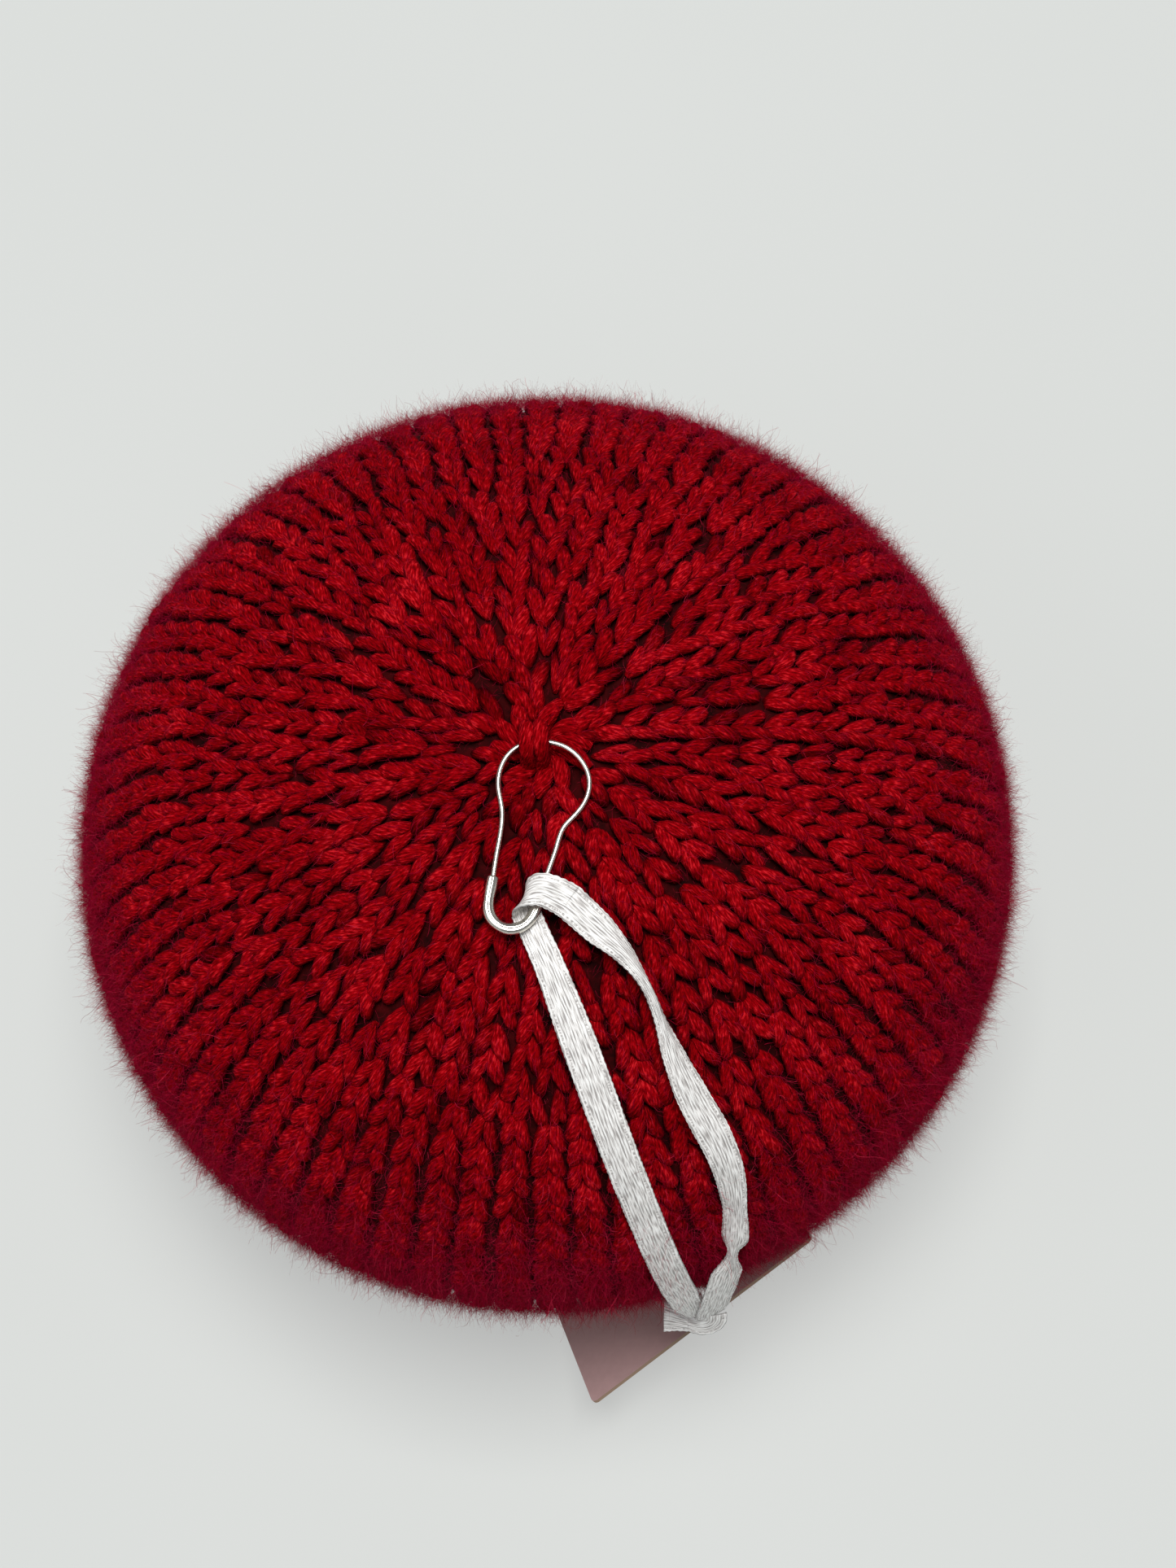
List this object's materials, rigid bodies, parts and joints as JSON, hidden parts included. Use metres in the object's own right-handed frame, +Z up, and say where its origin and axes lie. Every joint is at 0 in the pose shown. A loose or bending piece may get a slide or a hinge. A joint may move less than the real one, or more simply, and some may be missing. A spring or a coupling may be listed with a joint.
{
  "type": "wrist pin cushion",
  "caption": "Stuffed knitted wool dome on a flat felt base with an elastic wrist band, a bulb safety pin stitched to its crown and a ribbon with a card tag.",
  "frame": {"origin": "on the resting plane, under the middle of the dome", "axes": "+Z up through the crown, -Y towards the front, where the pin, ribbon and tag hang, +X to the right"},
  "size_m": [0.118, 0.1286, 0.083],
  "materials": {
    "wool": "fuzzy knitted wool",
    "lining": "plain weave",
    "fill": "loose fibre",
    "stiff_plastic": "smooth",
    "felt": "felt",
    "elastic": "ribbed elastic",
    "thread": "thread",
    "pin_metal": "bright plated wire",
    "satin": "white satin ribbon",
    "card": "smooth card"
  },
  "bodies": {
    "cushion": {"knit_cover": "wool", "lining_bag": "lining", "stuffing": "fill", "guard_disc": "stiff_plastic", "crown_gather_yarn": "wool", "crown_stitch": "wool", "base_gather_yarn": "wool", "felt_base": "felt", "base_stitches": "thread", "wrist_band": "elastic", "band_stitches": "thread"},
    "pin": {"pin_wire_pointed": "pin_metal", "ribbon_loop": "satin"},
    "pin_catch": {"pin_wire_fixed": "pin_metal", "pin_cap": "pin_metal"},
    "ribbon": {"ribbon_right": "satin", "ribbon_left": "satin", "ribbon_knot": "satin", "ribbon_tail": "satin", "tag_loop": "satin"},
    "tag": {"tag_card": "card"}
  },
  "joints": [
    {"name": "pin_swing", "type": "hinge", "parent": "cushion", "child": "pin", "pos_m": [-0.0009, 0.00022, 0.08025], "axis": [-1, 0, 0], "range_deg": [0, 75]},
    {"name": "catch_open", "type": "hinge", "parent": "pin", "child": "pin_catch", "pos_m": [-0.0012, 0.0002, 0.08025], "axis": [-1, 0, 0], "range_deg": [0, 12], "stiffness_Nm_per_rad": 0.002},
    {"name": "ribbon_lift", "type": "hinge", "parent": "pin", "child": "ribbon", "pos_m": [0.0006, -0.02085, 0.07995], "axis": [-0.5922, -0.7551, -0.2813], "range_deg": [0, 60]},
    {"name": "tag_swing", "type": "hinge", "parent": "ribbon", "child": "tag", "pos_m": [0.0156, -0.0577, 0.0164], "axis": [0.8142, 0.5115, 0.2747], "range_deg": [-20, 12]}
  ]
}
